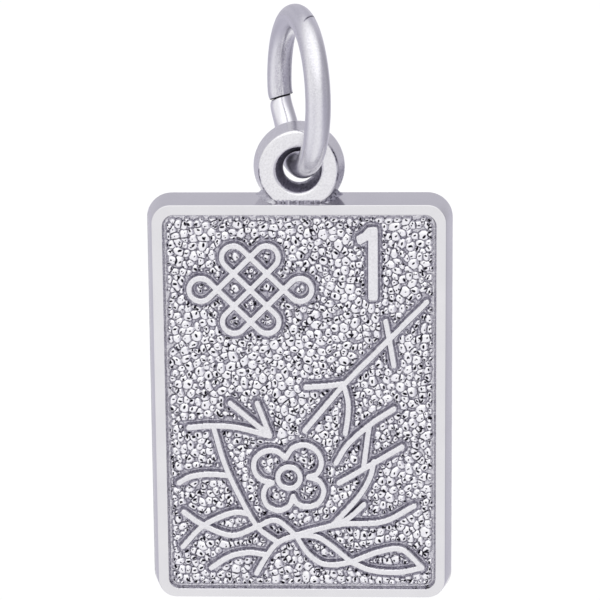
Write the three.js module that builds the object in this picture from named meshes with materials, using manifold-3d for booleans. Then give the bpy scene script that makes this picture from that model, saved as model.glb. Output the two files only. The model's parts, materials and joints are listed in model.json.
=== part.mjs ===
// Silver charm in the form of a mahjong flower tile: a drafted plate with a raised rim and relief,
// an eyelet soldered to its top edge, and an open jump ring through the eyelet.
// Millimetres, +Z up, +X to the right, the decorated face towards -Y.
// The origin is the inside top of the jump ring, where a chain carries the charm.
import * as THREE from 'three';
import { mergeVertices } from 'three/addons/utils/BufferGeometryUtils.js';
import Module from 'manifold-3d';

const wasm = await Module();
wasm.setup();

// Jump ring: round wire, turned a little out of square to the plate, cut through on the far side
const wireDiameter = 1.0;
const ringInnerDiameter = 5.0;
const ringYaw = THREE.MathUtils.degToRad(17);
const ringSplitAngle = THREE.MathUtils.degToRad(198);
const ringSplitGap = 0.08;

// Eyelet: its hole narrows to a throat near the back, with play for the turned wire
const wirePlay = 0.08;
const hangClearance = 0.02;
const throatSetback = 0.3;
const holeFrontFlare = 0.35;
const holeBackFlare = 0.1;
const eyeletFaceWidth = 0.65;
const eyeletDraftWidth = 0.27;
const eyeletEdge = 0.14;
const eyeletFrontSetback = 0.2;
const eyeletBackSetback = 0.05;
const footWall = 0.5;

// Tile plate: the outline is given at the back, and the sides draw in towards the front
const tileWidth = 12.45;
const tileHeight = 17.2;
const tileThickness = 1.3;
const tileDraftWidth = 0.29;
const tileCornerRadius = 1.04;
const frontEdgeBreak = 0.05;
const backEdgeBreak = 0.12;

// Recess inside the rim, its floor at the mean height of the pebbled ground, and the raised strokes on it
const rimWidth = 0.39;
const recessDepth = 0.26;
const recessCornerRadius = 0.48;
const recessWallDraftWidth = 0.1;
const strokeWidth = 0.2;
const numeralWidth = 0.36;
const strokeWallDraftWidth = 0.05;
const strokeRoot = 0.1;

// Solder between the eyelet's foot and the plate
const solderThickness = 0.1;
const solderRise = 0.3;
const solderSpread = 0.22;
const solderInset = 0.05;
const solderClearance = 0.01;

// Drawing grid laid over the recess: columns across, rows up
const gridColumns = 100;
const gridRows = 138;

// Branches and grasses of the flower picture, in drawing grid points
const branches = [
  [[96.5, 106.5], [66, 76.5]],
  [[81.5, 99.5], [83, 92], [84.5, 83.5]],
  [[52, 75.5], [60, 76], [66, 76.8]],
  [[66, 76.5], [51.5, 59.5]],
  [[66, 76.5], [67.6, 70], [67.4, 64], [66.5, 58.5]],
  [[24, 69.5], [38, 58]],
  [[34, 69.5], [38.5, 58]],
  [[8.5, 60.5], [17, 61.2], [27, 60.5], [38.5, 57.5]],
  [[17.7, 60.8], [21.5, 47.5], [27, 35], [33.5, 23.7], [41, 17.7]],
  [[4.5, 40], [9, 42.3], [16, 43.2], [23.3, 42.7]],
  [[6, 29], [13.5, 24], [24, 20.3], [33.5, 23.7], [40.5, 26], [47.8, 20.5]],
  [[47.8, 20.5], [52, 14], [57, 10], [62, 9.3], [68.5, 10.3]],
  [[5.5, 16], [13.5, 24], [24, 28.7], [30.3, 28.5]],
  [[16, 8], [23, 12.3], [30, 13.8], [36.8, 13]],
  [[33, 6], [36.5, 12], [41, 17.5], [48, 20.4], [64, 24.5], [80, 25.5], [92, 31.5]],
  [[48, 20.4], [55, 20], [60, 17.3], [68.5, 10.3]],
  [[68.5, 10.3], [79, 14.3], [87.5, 15], [95, 8.3]],
  [[68.5, 10.3], [76, 7.2], [86, 6.5], [95, 8.3]],
  [[61.5, 24.2], [71, 34.5], [75.5, 42], [77, 48]],
  [[64.5, 24.8], [69, 28], [73.3, 32]],
  [[64, 40], [87.5, 53.5]],
  [[73.3, 46], [74.2, 53], [75.3, 61]],
  [[63, 47.5], [67.5, 54.5], [76, 62], [84.5, 67.5]],
];

// Petals of the blossom, each from one notch to the next, round its open eye
const petals = [
  [[44.3, 49.3], [47, 53], [51.5, 54.2], [56, 51.8], [57.6, 47.5], [56, 43.6], [52.7, 42.2]],
  [[52.7, 42.2], [56.6, 40.8], [58.4, 37], [56.4, 32.6], [52, 31.1], [48.6, 32.3], [47, 35]],
  [[47, 35], [45.4, 31.4], [41.5, 29.7], [37.5, 31.4], [35.9, 35], [36.8, 38.4], [39.3, 40.1]],
  [[39.3, 40.1], [35.3, 41.2], [32.6, 44.7], [33, 49], [36.6, 51.8], [41, 51.8], [44.3, 49.3]],
];
const blossomCentre = [45.5, 42];
const blossomEyeRadius = 0.46;

// Numeral in the upper right: an upright bar with a slanted flag at its top
const numeral = [
  [[76.9, 131.4], [76.9, 109.3]],
  [[76.6, 131.2], [72.6, 129]],
];

// Endless knot in the upper left: three strands each way on the slant, joined by round loops
const knotCentre = [32, 111];
const knotPitch = 0.95;

// Steps on round forms
const ringSteps = 56;
const wireSides = 20;
const eyeletSides = 48;
const edgeSteps = 3;
const cornerSteps = 10;
const capSteps = 4;
const strokeSteps = 3;
const eyeSides = 20;

// Places worked out from the sizes; the tile's own frame has its origin on the eyelet's axis, at the throat
const wireRadius = wireDiameter / 2;
const ringRadius = ringInnerDiameter / 2 + wireRadius;
const ringCentreZ = -ringInnerDiameter / 2;
const throatRadius = wireRadius / Math.cos(ringYaw) + wirePlay;
const eyeletAxisZ = -ringInnerDiameter + hangClearance - throatRadius;
const eyeletThickness = tileThickness - eyeletFrontSetback - eyeletBackSetback;
const eyeletFrontY = throatSetback - eyeletThickness;
const eyeletBackY = throatSetback;
const holeFrontRadius = throatRadius + holeFrontFlare;
const holeBackRadius = throatRadius + holeBackFlare;
const eyeletFrontRadius = holeFrontRadius + eyeletFaceWidth;
const eyeletBackRadius = eyeletFrontRadius + eyeletDraftWidth;
const tileFrontY = eyeletFrontY - eyeletFrontSetback;
const tileBackY = tileFrontY + tileThickness;
const tileTopZ = -throatRadius - footWall;
const tileCentreZ = tileTopZ - tileHeight / 2;
const draftAngle = Math.atan2(tileDraftWidth, tileThickness);
const recessWidth = tileWidth - 2 * tileDraftWidth - 2 * rimWidth;
const recessHeight = tileHeight - 2 * tileDraftWidth - 2 * rimWidth;
const recessFloorY = tileFrontY + recessDepth;

// Closed body from a three.js geometry
function solidOf(geometry) {
  const bare = geometry.clone();
  bare.deleteAttribute('normal');
  bare.deleteAttribute('uv');
  const merged = mergeVertices(bare, 1e-5);
  const mesh = new wasm.Mesh({
    numProp: 3,
    vertProperties: Float32Array.from(merged.attributes.position.array),
    triVerts: Uint32Array.from(merged.index.array),
  });
  return new wasm.Manifold(mesh);
}

// Named mesh of polished metal from a closed body
function meshOf(name, solid, colour, roughness) {
  const data = solid.getMesh();
  const geometry = new THREE.BufferGeometry();
  geometry.setAttribute('position', new THREE.BufferAttribute(Float32Array.from(data.vertProperties), 3));
  geometry.setIndex(new THREE.BufferAttribute(Uint32Array.from(data.triVerts), 1));
  geometry.computeVertexNormals();
  const material = new THREE.MeshStandardMaterial({ color: colour, roughness, metalness: 1.0 });
  const mesh = new THREE.Mesh(geometry, material);
  mesh.name = name;
  return mesh;
}

// Loft through outlines of equal point count in X and Z, each at its own depth, from front to back
function loft(sections) {
  const count = sections[0].outline.length;
  const positions = [];
  for (const { y, outline } of sections) {
    for (const point of outline) positions.push(point.x, y, point.y);
  }
  const index = [];
  const backCap = (sections.length - 1) * count;
  for (const [a, b, c] of THREE.ShapeUtils.triangulateShape(sections[0].outline, [])) {
    index.push(a, b, c);
    index.push(backCap + a, backCap + c, backCap + b);
  }
  for (let front = 0; front < backCap; front += count) {
    const back = front + count;
    for (let i = 0; i < count; i += 1) {
      const next = (i + 1) % count;
      index.push(front + i, back + i, front + next);
      index.push(front + next, back + i, back + next);
    }
  }
  const geometry = new THREE.BufferGeometry();
  geometry.setAttribute('position', new THREE.Float32BufferAttribute(positions, 3));
  geometry.setIndex(index);
  return geometry;
}

// Points of a path, where each full round stretch takes a set number of steps
function sampled(path, roundSteps) {
  return path.getPoints(roundSteps / 2);
}

// Rounded rectangle about the plate's centre, counter-clockwise seen from the front
function roundedRectangle(width, height, radius) {
  const x = width / 2 - radius;
  const z = height / 2 - radius;
  const path = new THREE.Path();
  path.absarc(x, tileCentreZ - z, radius, -Math.PI / 2, 0);
  path.absarc(x, tileCentreZ + z, radius, 0, Math.PI / 2);
  path.absarc(-x, tileCentreZ + z, radius, Math.PI / 2, Math.PI);
  path.absarc(-x, tileCentreZ - z, radius, Math.PI, 1.5 * Math.PI);
  return sampled(path, cornerSteps);
}

// Plate outline at a depth, less an inset for a broken edge
function plateOutline(y, inset) {
  const shrink = tileDraftWidth * (1 - (y - tileFrontY) / tileThickness) + inset;
  return roundedRectangle(tileWidth - 2 * shrink, tileHeight - 2 * shrink, tileCornerRadius - shrink);
}

// Closed profile through corner points, each corner rounded from a set length before it to the same after
function roundedProfile(corners) {
  const path = new THREE.Path();
  const count = corners.length;
  corners.forEach(({ point, edge }, i) => {
    const before = corners[(i + count - 1) % count].point;
    const after = corners[(i + 1) % count].point;
    const enter = before.clone().sub(point).setLength(edge).add(point);
    const leave = after.clone().sub(point).setLength(edge).add(point);
    if (i === 0) path.moveTo(enter.x, enter.y);
    else path.lineTo(enter.x, enter.y);
    path.quadraticCurveTo(point.x, point.y, leave.x, leave.y);
  });
  path.closePath();
  return path.getPoints(edgeSteps);
}

// Half circle of points round a stroke's end, between its two sides
function strokeEnd(centre, startAngle, radius) {
  return Array.from({ length: capSteps - 1 }, (_, k) => {
    const angle = startAngle + (Math.PI * (k + 1)) / capSteps;
    return new THREE.Vector2(Math.cos(angle), Math.sin(angle)).multiplyScalar(radius).add(centre);
  });
}

// Outline of a stroke of even width with round ends, counter-clockwise
function strokeOutline(points, halfWidth) {
  const last = points.length - 1;
  const normals = points.map((_, i) => {
    const along = points[Math.min(i + 1, last)].clone().sub(points[Math.max(i - 1, 0)]);
    return new THREE.Vector2(-along.y, along.x).normalize();
  });
  const side = (sign) => points.map((p, i) => p.clone().addScaledVector(normals[i], sign * halfWidth));
  return [
    ...side(-1),
    ...strokeEnd(points[last], normals[last].angle() - Math.PI, halfWidth),
    ...side(1).reverse(),
    ...strokeEnd(points[0], normals[0].angle(), halfWidth),
  ];
}

// Raised stroke, flush with the rim, its walls drafted wider into the recess floor
function stroke(points, width) {
  const half = width / 2;
  return solidOf(loft([
    { y: tileFrontY, outline: strokeOutline(points, half) },
    { y: recessFloorY + strokeRoot, outline: strokeOutline(points, half + strokeWallDraftWidth) },
  ]));
}

// Place on the face of a drawing grid point
function onFace([column, row]) {
  const x = (column / gridColumns - 0.5) * recessWidth;
  const z = tileCentreZ + (row / gridRows - 0.5) * recessHeight;
  return new THREE.Vector2(x, z);
}

// Stroke through drawing grid points: straight between two, smooth through more
function drawnStroke(gridPoints, width) {
  const points = gridPoints.map(onFace);
  if (points.length === 2) return stroke(points, width);
  return stroke(new THREE.SplineCurve(points).getPoints(strokeSteps * (points.length - 1)), width);
}

// Raised ring at the heart of the blossom
function blossomEye() {
  const half = strokeWidth / 2;
  const centre = onFace(blossomCentre);
  const circle = (radius) => new THREE.Path().absarc(centre.x, centre.y, radius, 0, 2 * Math.PI);
  const outline = (radius) => sampled(circle(radius), eyeSides).slice(0, -1);
  const outer = solidOf(loft([
    { y: tileFrontY, outline: outline(blossomEyeRadius + half) },
    { y: recessFloorY + strokeRoot, outline: outline(blossomEyeRadius + half + strokeWallDraftWidth) },
  ]));
  const inner = solidOf(loft([
    { y: tileFrontY - strokeRoot, outline: outline(blossomEyeRadius - half) },
    { y: recessFloorY, outline: outline(blossomEyeRadius - half - strokeWallDraftWidth) },
  ]));
  return outer.subtract(inner);
}

// Endless knot: six loops drawn in turn, with the straight strands as the joins between them
function endlessKnot() {
  const loop = knotPitch / 2;
  const end = knotPitch + loop;
  const half = Math.PI;
  const path = new THREE.Path();
  path.absarc(-end, -loop, loop, -half / 2, half / 2, true);
  path.absarc(end, loop, loop, -half / 2, half / 2, false);
  path.absarc(-end, end, loop, -half / 2, -2 * half, true);
  path.absarc(-loop, -end, loop, half, 2 * half, false);
  path.absarc(loop, end, loop, half, 0, true);
  path.absarc(end, -end, loop, half, 2.5 * half, false);
  path.closePath();
  const centre = onFace(knotCentre);
  const origin = new THREE.Vector2();
  return path.curves.map((curve) => {
    const steps = curve.isLineCurve ? 1 : Math.ceil((2 * curve.getLength()) / loop);
    const points = curve.getPoints(steps).map((point) => point.rotateAround(origin, half / 4).add(centre));
    return stroke(points, strokeWidth);
  });
}

// Plate with drafted sides and broken edges, a recess with drafted walls, and the raised strokes
function tilePlate() {
  const plate = solidOf(loft([
    { y: tileFrontY, outline: plateOutline(tileFrontY, frontEdgeBreak) },
    { y: tileFrontY + frontEdgeBreak, outline: plateOutline(tileFrontY + frontEdgeBreak, 0) },
    { y: tileBackY - backEdgeBreak, outline: plateOutline(tileBackY - backEdgeBreak, 0) },
    { y: tileBackY, outline: plateOutline(tileBackY, backEdgeBreak) },
  ]));
  const mouth = roundedRectangle(recessWidth, recessHeight, recessCornerRadius);
  const floor = roundedRectangle(
    recessWidth - 2 * recessWallDraftWidth,
    recessHeight - 2 * recessWallDraftWidth,
    recessCornerRadius - recessWallDraftWidth,
  );
  const recess = solidOf(loft([
    { y: tileFrontY - recessDepth, outline: mouth },
    { y: tileFrontY, outline: mouth },
    { y: recessFloorY, outline: floor },
  ]));
  const relief = [
    ...[...branches, ...petals].map((points) => drawnStroke(points, strokeWidth)),
    ...numeral.map((points) => drawnStroke(points, numeralWidth)),
    blossomEye(),
    ...endlessKnot(),
  ];
  return wasm.Manifold.union([plate.subtract(recess), ...relief]);
}

// Seat of the eyelet: a frame lying in the plate's drafted top face, under the middle of the eyelet
const seatY = (eyeletFrontY + eyeletBackY) / 2;
const topFaceZ = (y) => tileTopZ - (tileBackY - y) * Math.tan(draftAngle);
const seatFrame = new THREE.Matrix4().makeRotationX(draftAngle).setPosition(0, seatY, topFaceZ(seatY));

// Block below a plane parallel to the seat, at a height above it
function belowSeat(height) {
  const size = 4 * eyeletBackRadius;
  const block = new THREE.BoxGeometry(size, size, size);
  block.translate(0, 0, height - size / 2);
  block.applyMatrix4(seatFrame);
  return solidOf(block);
}

// Whole ring of the eyelet, grown all round by an allowance
function eyeletRing(grow) {
  const frontY = eyeletFrontY - grow;
  const backY = eyeletBackY + grow;
  const corners = [
    { point: new THREE.Vector2(eyeletFrontRadius + grow, frontY), edge: eyeletEdge },
    { point: new THREE.Vector2(eyeletBackRadius + grow, backY), edge: eyeletEdge },
    { point: new THREE.Vector2(holeBackRadius - grow, backY), edge: eyeletEdge / 2 },
    { point: new THREE.Vector2(throatRadius - grow, 0), edge: eyeletEdge },
    { point: new THREE.Vector2(holeFrontRadius - grow, frontY), edge: eyeletEdge },
  ];
  return solidOf(new THREE.LatheGeometry(roundedProfile(corners), eyeletSides));
}

// Eyelet with its foot cut parallel to the seat
function eyelet() {
  return eyeletRing(0).subtract(belowSeat(solderThickness));
}

// Half-width of the eyelet's flank at a depth and at a height above the plate's top face
function flankHalfWidth(y, height) {
  const radius = eyeletFrontRadius + (eyeletDraftWidth * (y - eyeletFrontY)) / eyeletThickness;
  const drop = topFaceZ(y) + height;
  return Math.sqrt(Math.max(radius * radius - drop * drop, 0));
}

// Solder under the foot, with a wedge up each flank
function solderSeam() {
  const section = (y) => {
    const top = flankHalfWidth(y, solderRise) + solderClearance;
    const base = top + solderSpread;
    const outline = [
      new THREE.Vector2(-base, solderClearance),
      new THREE.Vector2(base, solderClearance),
      new THREE.Vector2(top, solderRise),
      new THREE.Vector2(-top, solderRise),
    ];
    return { y: (y - seatY) / Math.cos(draftAngle), outline };
  };
  const blank = loft([
    section(eyeletFrontY + solderInset),
    section(seatY),
    section(eyeletBackY - solderInset),
  ]);
  blank.applyMatrix4(seatFrame);
  const foot = eyeletRing(solderClearance).subtract(belowSeat(solderThickness - solderClearance));
  return solidOf(blank).subtract(foot);
}

// Centre line of the open ring about its own centre, from one side of the split round to the other
class RingArc extends THREE.Curve {
  getPoint(t, target = new THREE.Vector3()) {
    const gapAngle = ringSplitGap / ringRadius;
    const angle = ringSplitAngle + gapAngle / 2 + t * (2 * Math.PI - gapAngle);
    return target.set(0, -ringRadius * Math.cos(angle), ringRadius * Math.sin(angle));
  }
}

// Round wire carried along the ring
function jumpRing() {
  const wire = new THREE.Shape().absarc(0, 0, wireRadius, 0, 2 * Math.PI);
  return solidOf(new THREE.ExtrudeGeometry(wire, {
    extrudePath: new RingArc(),
    steps: ringSteps,
    curveSegments: wireSides / 2,
    bevelEnabled: false,
  }));
}

const ring = meshOf('jump_ring', jumpRing(), 0xe4e3e6, 0.12);
ring.position.z = ringCentreZ;
ring.rotation.z = ringYaw;

const tile = new THREE.Group();
tile.position.z = eyeletAxisZ;
tile.add(meshOf('eyelet', eyelet(), 0xe2e1e4, 0.15));
tile.add(meshOf('solder_seam', solderSeam(), 0xc9c8cc, 0.3));
tile.add(meshOf('tile_plate', tilePlate(), 0xdedde1, 0.18));

const charm = new THREE.Group();
charm.add(ring, tile);

export default charm;
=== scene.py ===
"""Dresses a silver mahjong tile charm.

The charm is a cast plate with a pebbled relief face, an eyelet with its solder, and an open jump ring.
"""
import json
import logging
import math
from dataclasses import dataclass, field
from enum import Enum
from typing import Any, Iterator

import bpy
import numpy as np
from mathutils import Matrix, Vector


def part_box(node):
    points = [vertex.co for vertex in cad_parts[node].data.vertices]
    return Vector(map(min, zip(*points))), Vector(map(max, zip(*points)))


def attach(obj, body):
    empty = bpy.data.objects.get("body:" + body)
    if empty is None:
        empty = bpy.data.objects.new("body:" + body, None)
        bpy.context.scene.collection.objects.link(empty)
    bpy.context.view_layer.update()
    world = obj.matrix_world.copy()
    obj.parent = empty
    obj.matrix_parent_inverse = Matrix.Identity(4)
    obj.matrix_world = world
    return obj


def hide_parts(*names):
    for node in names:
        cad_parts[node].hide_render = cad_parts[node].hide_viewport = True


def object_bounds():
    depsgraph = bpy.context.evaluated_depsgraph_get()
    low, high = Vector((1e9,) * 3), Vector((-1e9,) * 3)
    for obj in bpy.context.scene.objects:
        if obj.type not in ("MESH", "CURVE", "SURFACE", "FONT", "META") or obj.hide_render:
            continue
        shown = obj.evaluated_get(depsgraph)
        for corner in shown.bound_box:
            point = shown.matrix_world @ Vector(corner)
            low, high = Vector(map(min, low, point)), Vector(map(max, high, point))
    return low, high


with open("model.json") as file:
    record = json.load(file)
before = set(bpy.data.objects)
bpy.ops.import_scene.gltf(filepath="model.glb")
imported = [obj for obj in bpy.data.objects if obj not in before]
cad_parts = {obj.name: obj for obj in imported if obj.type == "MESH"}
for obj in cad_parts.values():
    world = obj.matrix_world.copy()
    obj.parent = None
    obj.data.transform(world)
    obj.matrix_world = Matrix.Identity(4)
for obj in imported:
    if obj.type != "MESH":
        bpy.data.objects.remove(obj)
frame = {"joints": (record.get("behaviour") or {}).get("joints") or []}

LOG = logging.getLogger("charm")
MM = 0.001
CAD_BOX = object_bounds()
WHITE = "ffffff"
NOISE_SPAN = (0.3, 0.7)
NOWHERE_MM = 1000.0
TINY = 1e-12

Array = np.ndarray
GridPoint = tuple[float, float]
Span = tuple[float, float]
Socket = bpy.types.NodeSocket
Waves = tuple[tuple[float, float, float], ...]


def linear(hex_colour: str) -> tuple[float, float, float, float]:
    """Turns an sRGB hex colour into linear RGBA.

    Args:
        hex_colour: Six hex digits, such as "e2e1e5".

    Returns:
        Red, green and blue in linear light, and an alpha of 1.
    """
    srgb = np.array([int(hex_colour[i:i + 2], 16) for i in (0, 2, 4)]) / 255.0
    low = srgb / 12.92
    high = ((srgb + 0.055) / 1.055) ** 2.4
    return (*np.where(srgb <= 0.04045, low, high).tolist(), 1.0)


def smoothstep(low: float, high: float, value: Array) -> Array:
    """Eases from 0 at low to 1 at high: with t the clipped share of the way, 3 t squared less 2 t cubed.

    Args:
        low: Value where the result leaves 0.
        high: Value where the result reaches 1.
        value: Values to ease.

    Returns:
        Eased values from 0 to 1.
    """
    t = np.clip((value - low) / (high - low), 0.0, 1.0)
    return t * t * (3.0 - 2.0 * t)


def add_node(tree: bpy.types.NodeTree, kind: str, settings: dict[str, Any] | None = None,
             inputs: dict[Any, Any] | None = None) -> bpy.types.Node:
    """Adds a node, sets its properties, and sets or links its inputs.

    Args:
        tree: Node tree that gets the node.
        kind: Blender's name of the node type.
        settings: Property names and their values.
        inputs: Input names or numbers, each with a value or with the output socket to link.

    Returns:
        The new node.
    """
    node = tree.nodes.new(kind)
    for name, value in (settings or {}).items():
        setattr(node, name, value)
    for key, value in (inputs or {}).items():
        if isinstance(value, bpy.types.NodeSocket):
            tree.links.new(value, node.inputs[key])
        else:
            node.inputs[key].default_value = value
    return node


def add_piece(name: str, points: Array, quads: Array, caps: list[Array] | None = None,
              attributes: dict[str, Array] | None = None) -> bpy.types.Object:
    """Makes a smooth-shaded mesh object from whole arrays.

    Args:
        name: Name of the piece.
        points: Vertex places in millimetres, shape (n, 3).
        quads: Vertex numbers of the four-sided faces, shape (m, 4).
        caps: Vertex numbers of any flat many-sided faces.
        attributes: Names of point attributes with one number for each vertex.

    Returns:
        The new object, linked to the scene, with its place in its mesh.
    """
    rings = caps or []
    corners = np.concatenate([quads.ravel(), *rings]).astype(np.int32)
    sizes = np.concatenate([np.full(len(quads), 4), [len(ring) for ring in rings]]).astype(np.int32)
    starts = np.concatenate([[0], np.cumsum(sizes)[:-1]]).astype(np.int32)
    mesh = bpy.data.meshes.new(name)
    mesh.vertices.add(len(points))
    mesh.vertices.foreach_set("co", (points * MM).astype(np.float32).ravel())
    mesh.loops.add(len(corners))
    mesh.loops.foreach_set("vertex_index", corners)
    mesh.polygons.add(len(sizes))
    mesh.polygons.foreach_set("loop_start", starts)
    mesh.polygons.foreach_set("use_smooth", np.ones(len(sizes), bool))
    mesh.update(calc_edges=True)
    for key, values in (attributes or {}).items():
        layer = mesh.attributes.new(key, "FLOAT", "POINT")
        layer.data.foreach_set("value", values.astype(np.float32).ravel())
    mesh.validate()
    piece = bpy.data.objects.new(name, mesh)
    bpy.context.scene.collection.objects.link(piece)
    return piece


def grid_quads(rows: int, columns: int, wrap_rows: bool = False, wrap_columns: bool = False) -> Array:
    """Numbers the quads of a grid of vertices stored row by row.

    Args:
        rows: Number of vertex rows.
        columns: Number of vertices in a row.
        wrap_rows: Whether the last row joins the first.
        wrap_columns: Whether each row's last vertex joins its first.

    Returns:
        Vertex numbers, shape (m, 4), in the order (r, c), (r, c + 1), (r + 1, c + 1), (r + 1, c).
    """
    r = np.arange(rows if wrap_rows else rows - 1)[:, None]
    c = np.arange(columns if wrap_columns else columns - 1)[None, :]
    next_r = (r + 1) % rows
    next_c = (c + 1) % columns
    this_row, next_row = r * columns, next_r * columns
    quads = np.stack([this_row + c, this_row + next_c, next_row + next_c, next_row + c], -1)
    return quads.reshape(-1, 4)


def rounded_rectangle(half_width: float, half_height: float, radius: float,
                      corner_steps: int = 12, side_steps: int = 24) -> Array:
    """Outline of a rounded rectangle about the origin, counter-clockwise in X and Z.

    Each corner is a quarter circle of the radius about a centre that lies the radius in from both sides, and
    each side is a straight run between two corners.

    Args:
        half_width: Half the width.
        half_height: Half the height.
        radius: Corner radius.
        corner_steps: Steps on each corner.
        side_steps: Steps on each side.

    Returns:
        Points, shape (4 * (corner_steps + side_steps), 2).
    """
    starts = np.array([-0.5, 0.0, 0.5, 1.0]) * math.pi
    signs = np.array([[1, -1], [1, 1], [-1, 1], [-1, -1]], float)
    centres = signs * [half_width - radius, half_height - radius]
    angles = starts[:, None] + np.linspace(0.0, math.pi / 2, corner_steps + 1)[None, :]
    arcs = centres[:, None, :] + radius * np.stack([np.cos(angles), np.sin(angles)], -1)
    share = (np.arange(1, side_steps) / side_steps)[None, :, None]
    sides = arcs[:, -1:, :] * (1 - share) + np.roll(arcs, -1, axis=0)[:, :1, :] * share
    return np.concatenate([arcs, sides], axis=1).reshape(-1, 2)


def rounded_box_depth(x: Array, z: Array, half_width: float, half_height: float, radius: float) -> Array:
    """Distance inside a rounded rectangle: positive within it, zero on its outline and negative outside.

    With q the point's absolute place less the half size plus the radius, the outside distance is the length
    of q's positive part plus the smaller of q's larger coordinate and zero, less the radius.

    Args:
        x: Places across.
        z: Places up.
        half_width: Half the width.
        half_height: Half the height.
        radius: Corner radius.

    Returns:
        Distances inside the outline.
    """
    qx = np.abs(x) - half_width + radius
    qz = np.abs(z) - half_height + radius
    outside = np.hypot(np.maximum(qx, 0), np.maximum(qz, 0)) + np.minimum(np.maximum(qx, qz), 0) - radius
    return -outside


def spline(points: Array, steps: int) -> Array:
    """Smooth curve through points: a Catmull-Rom cubic on each span, with mirrored points past both ends.

    Args:
        points: Points on the curve, shape (n, 2).
        steps: Steps on each span.

    Returns:
        Points along the curve, shape ((n - 1) * steps + 1, 2).
    """
    before = 2 * points[:1] - points[1:2]
    after = 2 * points[-1:] - points[-2:-1]
    p = np.concatenate([before, points, after])
    t = (np.arange(steps) / steps)[None, :, None]
    p0, p1, p2, p3 = (p[i:len(p) - 3 + i, None, :] for i in range(4))
    curve = 0.5 * (2 * p1 + (p2 - p0) * t + (2 * p0 - 5 * p1 + 4 * p2 - p3) * t ** 2
                   + (3 * p1 - p0 - 3 * p2 + p3) * t ** 3)
    return np.concatenate([curve.reshape(-1, 2), points[-1:]])


def waves(place: Array, terms: Waves) -> Array:
    """Sum of sine waves, each its size times the sine of its number times the place plus its phase.

    Args:
        place: Places along the pattern.
        terms: Size, number and phase of each wave.

    Returns:
        The sum at each place.
    """
    return sum(size * np.sin(number * place + phase) for size, number, phase in terms)


class FaceBand(Enum):
    """Bands of the relief face, from its bottom to its top, each a piece of its own."""

    LOWEST = "face_lowest"
    LOWER = "face_lower"
    UPPER = "face_upper"
    HIGHEST = "face_highest"


def calculate(tree: bpy.types.NodeTree, operation: str, *values: Any) -> Socket:
    """Adds a Math node.

    Args:
        tree: Node tree that gets the node.
        operation: Blender's name of the operation.
        values: Numbers or output sockets, in the node's order.

    Returns:
        Socket with the result.
    """
    node = add_node(tree, "ShaderNodeMath", {"operation": operation}, dict(enumerate(values)))
    return node.outputs["Value"]


def map_range(tree: bpy.types.NodeTree, value: Socket, span: Span, ends: Span, eased: bool = True) -> Socket:
    """Adds a Map Range node, whose result stays between its ends.

    Args:
        tree: Node tree that gets the node.
        value: Socket with the value.
        span: Values where the result reaches its ends.
        ends: Results at the two ends of the span.
        eased: Whether the result eases in and out, or else goes evenly.

    Returns:
        Socket with the result.
    """
    kind = "SMOOTHSTEP" if eased else "LINEAR"
    node = add_node(tree, "ShaderNodeMapRange", {"interpolation_type": kind}, {
        "Value": value, "From Min": span[0], "From Max": span[1], "To Min": ends[0], "To Max": ends[1]})
    return node.outputs["Result"]


def noise(tree: bpy.types.NodeTree, place: Socket, size: float, detail: float,
          roughness: float = 0.5) -> Socket:
    """Adds a noise texture.

    Args:
        tree: Node tree that gets the node.
        place: Socket with the place.
        size: Size of the noise's features in millimetres.
        detail: Number of finer layers.
        roughness: Share of each finer layer.

    Returns:
        Socket with the noise, from 0 to 1.
    """
    node = add_node(tree, "ShaderNodeTexNoise", inputs={
        "Vector": place, "Scale": 1 / (size * MM), "Detail": detail, "Roughness": roughness})
    return node.outputs["Fac"]


def mix_colours(tree: bpy.types.NodeTree, share: Socket, first: Any, second: Any) -> Socket:
    """Adds a node that mixes two colours.

    Args:
        tree: Node tree that gets the node.
        share: Socket with the second colour's share.
        first: Colour or socket at a share of 0.
        second: Colour or socket at a share of 1.

    Returns:
        Socket with the mixed colour.
    """
    node = add_node(tree, "ShaderNodeMix", {"data_type": "RGBA"}, {"Factor": share, "A": first, "B": second})
    return node.outputs["Result"]


def new_finish(name: str) -> bpy.types.Material:
    """Makes a material with an empty node tree.

    Args:
        name: Name of the material.

    Returns:
        The new material.
    """
    made = bpy.data.materials.new(name)
    made.use_nodes = True
    made.node_tree.nodes.clear()
    return made


def metal(tree: bpy.types.NodeTree, colour: Socket, roughness: Socket,
          height: Socket, strength: float, depth: float) -> None:
    """Ends a material's tree in a metal with a fine bump.

    Args:
        tree: Node tree that gets the nodes.
        colour: Socket with the metal's colour.
        roughness: Socket with its roughness.
        height: Socket with the bump's height, from 0 to 1.
        strength: Strength of the bump.
        depth: Depth of the bump in millimetres.
    """
    bump = add_node(tree, "ShaderNodeBump", inputs={
        "Height": height, "Strength": strength, "Distance": depth * MM})
    shader = add_node(tree, "ShaderNodeBsdfPrincipled", inputs={
        "Base Color": colour, "Roughness": roughness, "Normal": bump.outputs["Normal"], "Metallic": 1.0})
    add_node(tree, "ShaderNodeOutputMaterial", inputs={"Surface": shader.outputs["BSDF"]})


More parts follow.
